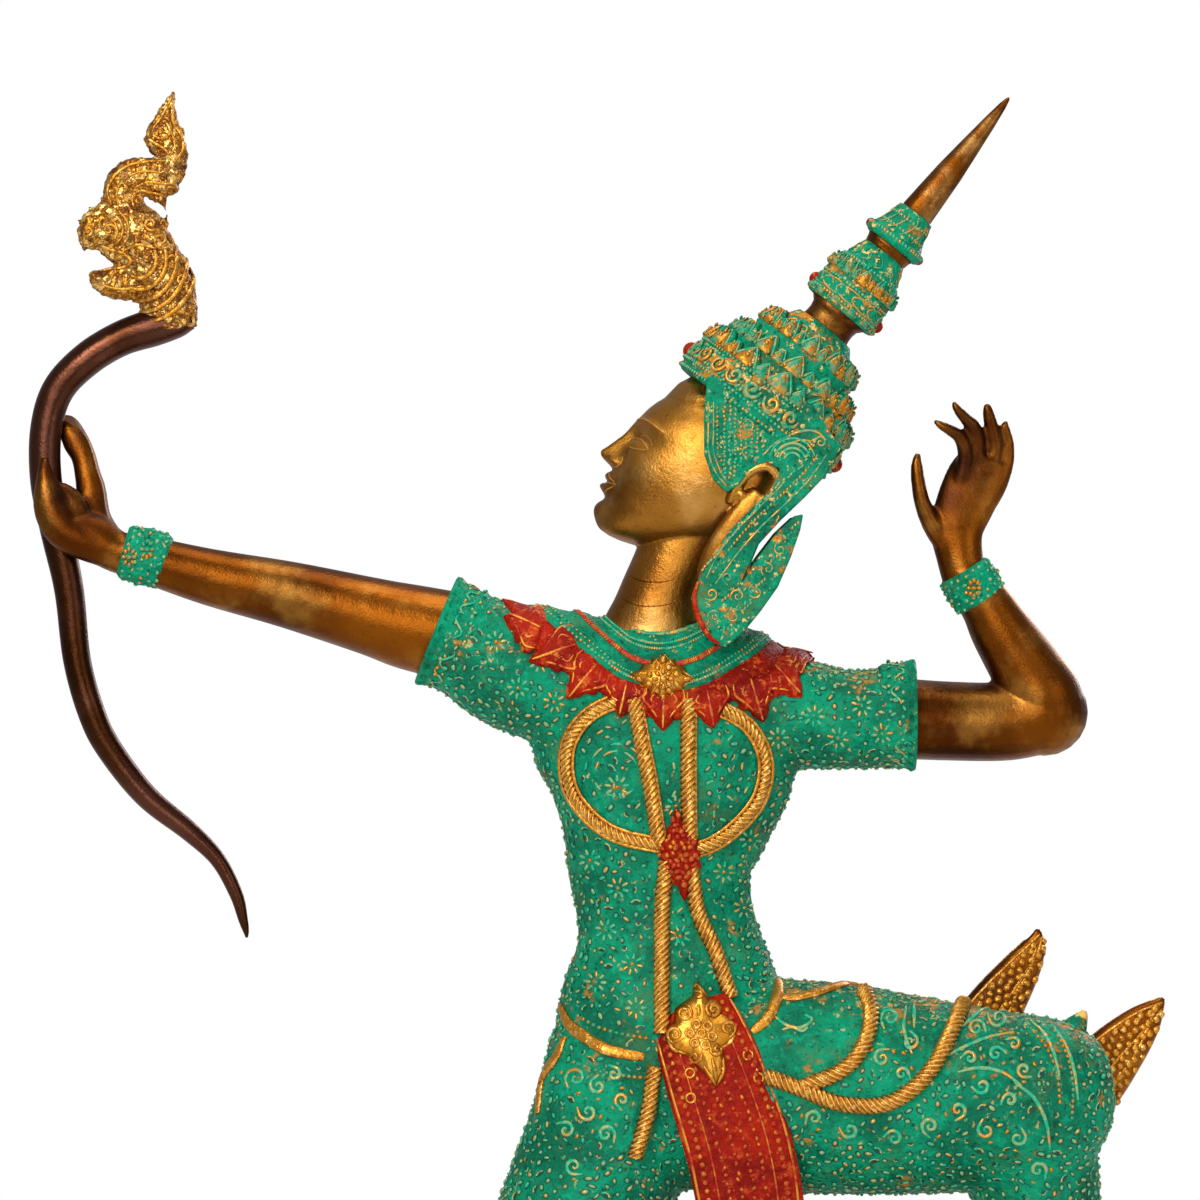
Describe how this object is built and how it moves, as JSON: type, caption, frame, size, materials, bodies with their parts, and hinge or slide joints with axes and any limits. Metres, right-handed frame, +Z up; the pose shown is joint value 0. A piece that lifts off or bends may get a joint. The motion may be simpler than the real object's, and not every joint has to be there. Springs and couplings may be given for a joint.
{
  "type": "kneeling archer figure",
  "caption": "Kneeling archer in a tall tiered crown, one arm stretched out with a serpent-headed bow and the other hand raised, on a low base, in painted cast bronze.",
  "frame": {"origin": "middle of the underside of the base", "axes": "+Z up, -Y the way the chest faces, -X the way the head looks and the bow points"},
  "size_m": [0.585, 0.19, 0.7102],
  "materials": {
    "green_paint": "satin green paint, rubbed through to gilt on the raised relief",
    "red_paint": "satin red paint with gilt on its edges",
    "gold_paint": "satin gold paint, darker in the grooves",
    "bronze": "rubbed golden-brown bronze, darker in the hollows",
    "dark_bronze": "polished dark red-brown patina",
    "base_bronze": "satin brown patina"
  },
  "bodies": {
    "root": {"figure": "green_paint", "bow": "dark_bronze", "base": "base_bronze"}
  },
  "joints": []
}
